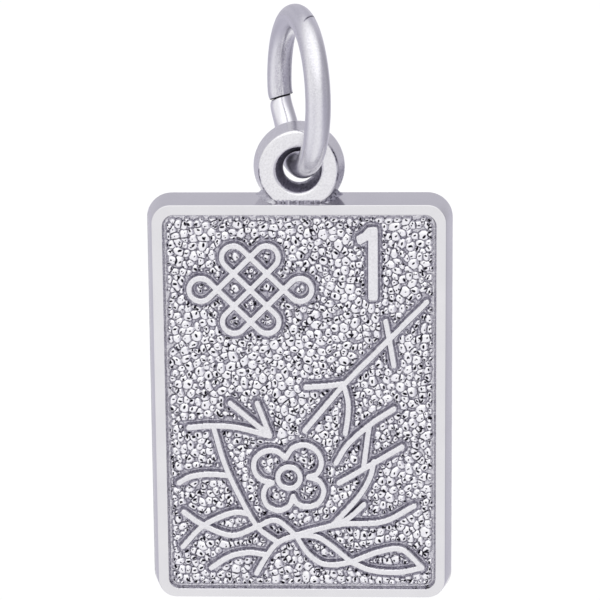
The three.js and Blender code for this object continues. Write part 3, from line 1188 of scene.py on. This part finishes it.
@dataclass
class Eyelet:
    """Ring that stands on the plate's top edge: drafted outside, with a hole that narrows to a throat."""

    casting: TileCasting
    axis_z: float = frame["joints"][0]["pos_m"][2] / MM
    front_y: float = -0.75
    back_y: float = 0.3
    front_radius: float = 1.603
    back_radius: float = 1.873
    hole_front: float = 0.953
    throat: float = 0.603
    hole_back: float = 0.703
    edge: float = 0.14
    edge_shares: tuple[float, ...] = (1.0, 1.0, 0.5, 1.5, 1.0)
    sink: float = 0.03
    sides: int = 144
    steps: int = 7
    flats: int = 9
    flat_span: Span = (0.06, 0.94)
    face_tarnish: float = 0.12
    # darker inside the hole
    hole_darkening: float = 0.58
    hole_margin: Span = (0.03, 0.01)
    foot_tarnish: float = 0.62
    foot_span: Span = (0.06, 0.2)
    # painted shade: the right flank is painted darker low down, where its light is dimmer
    flank_shade: float = 0.5
    flank_across: Span = (0.9, 1.6)
    flank_up: Span = (-0.2, 0.5)
    front_marks: float = 0.75
    front_span: Span = (0.0, 0.9)
    front_waves: Waves = ((1.0, 2, -0.6), (0.6, 11, 1.0))
    back_marks: float = 1.1
    back_span: Span = (0.4, 0.9)
    back_waves: Waves = ((1.0, 2, -1.9), (0.4, 23, 0.0))

    def profile(self) -> Array:
        """Closed outline of the ring's section as radius and depth, with every corner rounded.

        A rounded corner at p, entered from a and left to b, is the quadratic curve
        (1 - t) squared a + 2 t (1 - t) p + t squared b.

        Returns:
            Points, shape (n, 2): for each corner its curve, then the straight run to the next.
        """
        corners = np.array([
            [self.front_radius, self.front_y], [self.back_radius, self.back_y],
            [self.hole_back, self.back_y], [self.throat, 0.0], [self.hole_front, self.front_y]])
        edges = self.edge * np.array(self.edge_shares)[:, None]
        before = np.roll(corners, 1, axis=0) - corners
        after = np.roll(corners, -1, axis=0) - corners
        enter = corners + before * edges / np.linalg.norm(before, axis=1, keepdims=True)
        leave = corners + after * edges / np.linalg.norm(after, axis=1, keepdims=True)
        t = np.linspace(0.0, 1.0, self.steps)[None, :, None]
        curves = (1 - t) ** 2 * enter[:, None] + 2 * t * (1 - t) * corners[:, None] + t ** 2 * leave[:, None]
        share = np.linspace(*self.flat_span, self.flats)[None, :, None]
        flats = leave[:, None] * (1 - share) + np.roll(enter, -1, axis=0)[:, None] * share
        return np.concatenate([curves, flats], axis=1).reshape(-1, 2)

    def seat(self, y: Array) -> Array:
        """Height of the plate's drafted top face.

        Args:
            y: Depths.

        Returns:
            Height of the face at each depth.
        """
        casting = self.casting
        top = casting.centre_z + casting.half_back[1]
        return top - casting.draft * (1 - (y - casting.front_y) / casting.thickness)

    def build(self, finish: bpy.types.Material) -> bpy.types.Object:
        """Turns the section about the eyelet's axis, and flattens what lies inside the plate onto its top.

        Args:
            finish: Material of the eyelet.

        Returns:
            The eyelet.
        """
        section = self.profile()
        angle = np.arange(self.sides) * 2 * math.pi / self.sides
        x = section[None, :, 0] * np.sin(angle)[:, None]
        y = np.broadcast_to(section[None, :, 1], x.shape)
        z = self.axis_z + section[None, :, 0] * np.cos(angle)[:, None]
        z = np.maximum(z, self.seat(y) - self.sink)
        points = np.stack([x, y, z], -1)
        quads = grid_quads(self.sides, len(section), wrap_rows=True, wrap_columns=True)
        piece = add_piece("eyelet_ring", points.reshape(-1, 3), quads[:, ::-1],
                          attributes={"tarnish_and_painted_shade": self.tarnish_and_painted_shade(section, angle, points)})
        piece.data.materials.append(finish)
        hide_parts("eyelet")
        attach(piece, "tile")
        return piece

    def tarnish_and_painted_shade(self, section: Array, angle: Array, points: Array) -> Array:
        """Wear of the eyelet: darker in the hole and at the foot, with marked edges, and painted shade low on
        the right flank.

        Args:
            section: Outline of the section.
            angle: Angles round the eyelet, from the top to the right.
            points: Places on the eyelet, shape (angles, outline, 3).

        Returns:
            Tarnish and painted shade of each place.
        """
        x, y, z = np.moveaxis(points, -1, 0)
        radius, depth = section.T
        hole = (radius < self.hole_front - self.hole_margin[0]) & (depth < self.back_y - self.hole_margin[1])
        faces = np.where(hole, self.hole_darkening, self.face_tarnish)[None, :]
        foot = self.foot_tarnish * (1 - smoothstep(*self.foot_span, z - self.seat(y)))
        outer = (radius > self.front_radius)[None, :]
        lower = 1 - smoothstep(*self.flank_up, z - self.axis_z)
        # painted shade low on the right flank
        flank = self.flank_shade * outer * smoothstep(*self.flank_across, x) * lower
        corner, step = np.divmod(np.arange(len(section)), self.steps + self.flats)
        middle = (step == self.steps // 2) | (step == self.steps // 2 + 1)
        patchy = smoothstep(*self.front_span, waves(angle, self.front_waves))
        blots = smoothstep(*self.back_span, waves(angle, self.back_waves)) * (angle < math.pi)
        front = self.front_marks * (middle & (corner == 0))[None, :] * patchy[:, None]
        back = self.back_marks * (middle & (corner == 1))[None, :] * blots[:, None]
        return np.maximum.reduce(np.broadcast_arrays(faces, foot, flank, front, back))


@dataclass
class SolderFillet:
    """Solder in the corner between the eyelet's flanks and the plate's top, left and right."""

    eyelet: Eyelet
    rise: float = 0.2
    spread: float = 0.42
    spread_by_rise: float = 0.25
    inset: float = 0.04
    overlap: float = 0.02
    pull: float = 0.7
    heel: Span = (0.1, 0.05)
    slim: float = 0.75
    swells: Waves = ((0.25, math.pi, 0.0), (0.08, 9.0, 0.6))
    along: int = 40
    across: int = 12
    edge_tarnish: float = 0.14
    hollow_tarnish: float = 0.25
    heel_tarnish: float = 0.4
    blots_along: Waves = ((0.16, 21, 1.0),)
    blots_across: Waves = ((1.0, 7, 0.0),)
    # painted shade: the right fillet is painted darker than the left, and the left lighter
    right_painted_shade: float = 1.5
    left_painted_light: float = 0.4

    def build(self, finish: bpy.types.Material) -> bpy.types.Object:
        """Carries a hollow fillet along each corner.

        At each depth the fillet runs from the flank, rise above the plate, to the plate, spread out from the
        corner, as a quadratic curve pulled towards the corner, and it thins towards both ends.

        Args:
            finish: Material of the solder.

        Returns:
            Both fillets as one piece.
        """
        ring = self.eyelet
        s = np.linspace(0.0, 1.0, self.along)
        y = ring.front_y + self.inset + s * (ring.back_y - ring.front_y - 2 * self.inset)
        draft = (ring.back_radius - ring.front_radius) / (ring.back_y - ring.front_y)
        radius = ring.front_radius + draft * (y - ring.front_y)
        seat = ring.seat(y)
        swell = self.slim + waves(s, self.swells)
        rise = self.rise * swell

        def flank(height: Array) -> Array:
            """Half-width of the eyelet at a height above the plate's top."""
            return np.sqrt(np.maximum(radius ** 2 - (ring.axis_z - seat - height) ** 2, 0.0))

        corner = np.stack([flank(np.zeros_like(s)) + self.overlap, seat], -1)
        upper = np.stack([flank(rise) - self.overlap, seat + rise], -1)
        reach = self.spread * swell + self.spread_by_rise * rise
        outer = np.stack([corner[:, 0] + reach, seat - self.overlap], -1)
        pull = corner * self.pull + (upper + outer) * (1 - self.pull) / 2
        t = np.linspace(0.0, 1.0, self.across)[None, :, None]
        curve = (1 - t) ** 2 * upper[:, None] + 2 * t * (1 - t) * pull[:, None] + t ** 2 * outer[:, None]
        heel = np.stack([corner[:, 0] - self.heel[0], seat - self.heel[1]], -1)[:, None]
        section = np.concatenate([curve, heel], axis=1)
        depth = np.broadcast_to(y[:, None], section.shape[:2])
        right = np.stack([section[..., 0], depth, section[..., 1]], -1)
        left = right * [-1, 1, 1]
        count = right.shape[0] * right.shape[1]
        quads = grid_quads(*right.shape[:2], wrap_columns=True)
        points = np.concatenate([right.reshape(-1, 3), left.reshape(-1, 3)])
        ends = np.arange(right.shape[1])
        last = count - right.shape[1]
        caps = [ends, ends[::-1] + last, ends[::-1] + count, ends + count + last]
        piece = add_piece("solder_fillets", points, np.concatenate([quads[:, ::-1], quads + count]), caps,
                          attributes={"tarnish_and_painted_shade": self.tarnish_and_painted_shade(s, t.ravel())})
        piece.data.materials.append(finish)
        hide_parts("solder_seam")
        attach(piece, "tile")
        return piece

    def tarnish_and_painted_shade(self, s: Array, t: Array) -> Array:
        """Wear of the solder, dim in the hollow and blotted, with painted shade that makes the right darker
        than the left.

        Args:
            s: Shares of the way along the fillet.
            t: Shares of the way across its hollow.

        Returns:
            Tarnish and painted shade of each place, first on the right fillet and then on the left.
        """
        across = np.append(self.edge_tarnish + self.hollow_tarnish * np.sin(math.pi * t), self.heel_tarnish)
        around = np.linspace(0.0, 1.0, len(across))
        blots = waves(s, self.blots_along)[:, None] * waves(around, self.blots_across)[None, :]
        # painted shade: right fillet darker, left lighter
        right = self.right_painted_shade * (across + blots)
        left = self.left_painted_light * (across + blots[::-1])
        return np.maximum(np.concatenate([right, left]), 0.0)


@dataclass
class JumpRing:
    """Open ring of round wire, cut through on its far side."""

    wire: float = 1.0
    inner: float = 5.0
    yaw: float = math.radians(17)
    split: float = math.radians(193.7)
    gap: float = 0.012
    burr: float = 0.045
    burr_share: float = 0.999
    burr_steps: tuple[float, ...] = (0.08, 0.3, 0.6, 1.0)
    pinch: float = 0.13
    pinch_length: float = 0.9
    sway: float = 0.12
    sway_span: float = math.radians(47)
    slant: float = 0.24
    slant_length: float = 0.8
    tip: float = 0.05
    tip_side: Span = (0.3, 1.0)
    shoulder: float = 0.09
    shoulder_side: Span = (0.2, 1.0)
    tip_length: float = 0.12
    sides: int = 72
    steps: int = 900
    wear_and_streak_shade: float = 0.1
    drawn: Waves = ((0.03, 9, 0.0),)
    upper_span: Span = (4.9, 5.5)
    # painted shade: dark streaks on the right of the upper limb stand for shade and dark reflections there
    painted_streak_shade: float = 0.3
    streak_level: float = 0.5
    streaks: tuple[tuple[float, float, float, float], ...] = ((0.3, 11, 1.5, 4), (0.2, 19, -2.0, 3))
    streak_side: Span = (-0.75, -0.2)
    side_rub: float = 0.09
    side_rub_span: Span = (0.2, 0.9)
    end_rub: float = 0.1
    end_rub_span: Span = (0.3, 0.7)
    # painted shade: a dark line across the top of the wire where its highlight ends; the wire has no crease
    # in its shape
    shade_line: float = math.radians(65)
    shade_line_width: float = 0.055
    shade_line_slope: float = 0.13
    shade_line_edge: Span = (0.4, 1.0)
    shade_line_side: Span = (-0.6, 0.1)
    # painted shade: the cut ends are painted near-black to stand for the shade in the narrow split
    split_shade: float = 1.6
    cut_edge: Span = (0.5, 1.1)

    @property
    def radius(self) -> float:
        """Radius of the wire's centre line."""
        return (self.inner + self.wire) / 2

    def build(self, finish: bpy.types.Material) -> bpy.types.Object:
        """Carries a circle round the ring, closing to a rounded edge and a flat face at each end.

        At angle a the centre line is at R (cos a, sin a) in the ring's plane, with R the inner radius plus
        half the wire. Near an end the circle shrinks by burr (1 - sqrt(1 - u squared)), u the share of the
        last burr. The cut leans by slant, the upper end has a tip on its right, and both have a shoulder on
        the left.

        Args:
            finish: Material of the wire.

        Returns:
            The ring.
        """
        radius = self.radius
        half_gap = self.gap / (2 * radius)
        run = np.linspace(self.split + half_gap, self.split + 2 * math.pi - half_gap, self.steps)
        edge = self.burr / radius
        extra = edge * np.array(self.burr_steps)
        run = np.sort(np.concatenate([run, run[0] + extra, run[-1] - extra]))
        near = np.minimum(run - run[0], run[-1] - run)
        u = 1 - np.clip(near / edge, 0, 1)
        pinched = 1 - self.pinch * np.exp(-(run - run[0]) * radius / self.pinch_length)
        thick = self.wire / 2 * pinched - self.burr * (1 - np.sqrt(1 - u ** 2 * self.burr_share))
        turn = np.arange(self.sides) * 2 * math.pi / self.sides
        out = radius + thick[:, None] * np.cos(turn)
        across = thick[:, None] * np.sin(turn)
        fade = np.exp(-near * radius / self.tip_length)[:, None]
        upper = (run > self.split + math.pi)[:, None]
        tip = self.tip * upper * fade * smoothstep(*self.tip_side, np.sin(turn))
        shoulder = self.shoulder * fade * smoothstep(*self.shoulder_side, -np.sin(turn))
        along_sway = np.clip((run - run[0]) / self.sway_span, 0, 1)
        sway = self.sway * (np.sin(math.pi * along_sway) ** 2)[:, None]
        side = across + tip + shoulder + sway
        lean = self.slant * across * np.exp(-near * radius / self.slant_length)[:, None] / radius
        place = run[:, None] - lean
        along = out * np.cos(place)
        x = along * math.sin(self.yaw) + side * math.cos(self.yaw)
        y = -along * math.cos(self.yaw) + side * math.sin(self.yaw)
        z = -self.inner / 2 + out * np.sin(place)
        points = np.stack([x, y, z], -1)
        quads = grid_quads(len(run), self.sides, wrap_columns=True)
        ends = np.arange(self.sides)
        caps = [ends[::-1], ends + (len(run) - 1) * self.sides]
        piece = add_piece("jump_ring_wire", points.reshape(-1, 3), quads, caps,
                          attributes={"tarnish_and_painted_shade": self.tarnish_and_painted_shade(run, turn, near * radius)})
        piece.data.materials.append(finish)
        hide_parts("jump_ring")
        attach(piece, "ring")
        return piece

    def tarnish_and_painted_shade(self, run: Array, turn: Array, from_end: Array) -> Array:
        """Wear of the wire, bright by the split's lower end, with painted shade: dark streaks on the upper
        part, and dark at the cut's ends and along a line across the top where the wire has no crease.

        A streak of a size has a number of lines round the wire, which wander to the side and back in a
        number of bends round the ring.

        Args:
            run: Angles round the ring.
            turn: Angles round the wire.
            from_end: Distance of each place on the ring from the nearer end.

        Returns:
            Tarnish and painted shade for each place on the ring and each place round the wire.
        """
        run, turn, from_end = run[:, None], turn[None, :], from_end[:, None]
        right = np.sin(turn)
        past_split = (run - self.split) % (2 * math.pi)
        upper = smoothstep(*self.upper_span, past_split)
        streaks = self.streak_level + sum(
            size * np.sin(lines * turn + wander * np.sin(bends * run))
            for size, lines, wander, bends in self.streaks)
        # painted shade and dark reflections, streaked on the upper limb
        streaked = self.painted_streak_shade * upper * smoothstep(*self.streak_side, right) * streaks
        rubbed = self.side_rub * (1 - upper) * smoothstep(*self.side_rub_span, right)
        rubbed = np.maximum(rubbed, self.end_rub * (1 - smoothstep(*self.end_rub_span, past_split)))
        wear_and_streak_shade = self.wear_and_streak_shade + waves(turn, self.drawn) + streaked - rubbed
        # painted shade line across the top of the wire, not a crease in its shape
        slanted = run - self.shade_line - self.shade_line_slope * right
        off_shade_line = np.abs((slanted + math.pi) % (2 * math.pi) - math.pi) * self.radius
        shade_line = 1 - smoothstep(*self.shade_line_edge, off_shade_line / self.shade_line_width)
        shade_line = shade_line * smoothstep(*self.shade_line_side, right)
        # painted shade at the split's ends
        cut = self.split_shade * (1 - smoothstep(*self.cut_edge, from_end / self.burr))
        return np.maximum(np.maximum(wear_and_streak_shade, shade_line), cut)


@dataclass
class Studio:
    """White sweep, soft light from all round, and the camera, with all sizes in millimetres."""

    azimuth: float = math.radians(2.10)
    elevation: float = math.radians(14.0)
    roll: float = math.radians(-0.50)
    distance: float = 118.3
    target: tuple[float, float, float] = (0.03, -0.95, -10.886)
    lens: float = 175.4
    sensor: float = 36.0
    clip: Span = (2.0, 20000.0)
    floor_drop: float = 40.0
    floor_size: float = 2400.0
    floor_points: int = 9
    tent: LightTent = LightTent()

    def axes(self) -> Matrix:
        """Works out which way the camera faces.

        Returns:
            Camera's right, up and backward directions as the columns of a matrix.
        """
        az, el = self.azimuth, self.elevation
        forward = Vector((-math.sin(az) * math.cos(el), math.cos(az) * math.cos(el), -math.sin(el)))
        right = Vector((math.cos(az), math.sin(az), 0.0))
        up = right.cross(forward)
        c, s = math.cos(self.roll), math.sin(self.roll)
        return Matrix((c * right + s * up, c * up - s * right, -forward)).transposed()

    def camera(self) -> None:
        """Puts the camera at the photograph's viewing angle."""
        data = bpy.data.cameras.new("camera")
        data.sensor_width = self.sensor
        data.lens = self.lens
        data.clip_start = self.clip[0] * MM
        data.clip_end = self.clip[1] * MM
        camera = bpy.data.objects.new("camera", data)
        bpy.context.scene.collection.objects.link(camera)
        axes = self.axes()
        place = Vector(self.target) * MM + axes.col[2] * self.distance * MM
        camera.matrix_world = Matrix.Translation(place) @ axes.to_4x4()
        bpy.context.scene.camera = camera

    def floor(self) -> None:
        """Lays the white sweep well below the hanging charm."""
        half = self.floor_size / 2
        z = CAD_BOX[0].z / MM - self.floor_drop
        s = np.linspace(-half, half, self.floor_points)
        x, y = np.meshgrid(s, s)
        points = np.stack([x, y, np.full_like(x, z)], -1).reshape(-1, 3)
        piece = add_piece("paper_sweep", points, grid_quads(self.floor_points, self.floor_points))
        piece.data.materials.append(PaperFloor(self.tent).material())

    def world(self) -> None:
        """Lights the scene from the tent, the same for every kind of ray."""
        world = bpy.data.worlds.new("tent")
        bpy.context.scene.world = world
        world.use_nodes = True
        tree = world.node_tree
        tree.nodes.clear()
        way = add_node(tree, "ShaderNodeTexCoord").outputs["Generated"]
        level = self.tent.level(tree, way)
        tent = add_node(tree, "ShaderNodeBackground", inputs={
            "Color": self.tent.tint(tree, level), "Strength": level})
        add_node(tree, "ShaderNodeOutputWorld", inputs={"Surface": tent.outputs["Background"]})

    def build(self) -> None:
        """Sets up the sweep, the light and the camera."""
        bpy.context.scene.view_settings.view_transform = "Standard"
        self.floor()
        self.world()
        self.camera()


def main() -> None:
    """Builds the charm piece by piece, then the studio, and logs each piece's face count."""
    logging.basicConfig(level=logging.INFO, format="%(message)s")
    cast = AntiquedSilver()
    turned = AntiquedSilver(name="turned_silver", grain=0.06)
    solder = AntiquedSilver(name="silver_solder", bright="e2e1e5", buffed="cccbd1", roughness=0.24)
    wire = AntiquedSilver(
        name="worn_silver_wire", bright="e6e5ea", buffed="d6d5db", roughness=0.2, grain=0.06)
    casting = TileCasting()
    eyelet = Eyelet(casting)
    made = [
        casting.build(PolishedSilver().material()),
        *ReliefFace(casting, FlowerDrawing(), PebbledGround()).build(cast.material()),
        eyelet.build(turned.material()),
        SolderFillet(eyelet).build(solder.material()),
        JumpRing().build(wire.material()),
    ]
    for piece in made:
        LOG.info("%s: %d faces", piece.name, len(piece.data.polygons))
    Studio().build()


if __name__ == "__main__":
    main()
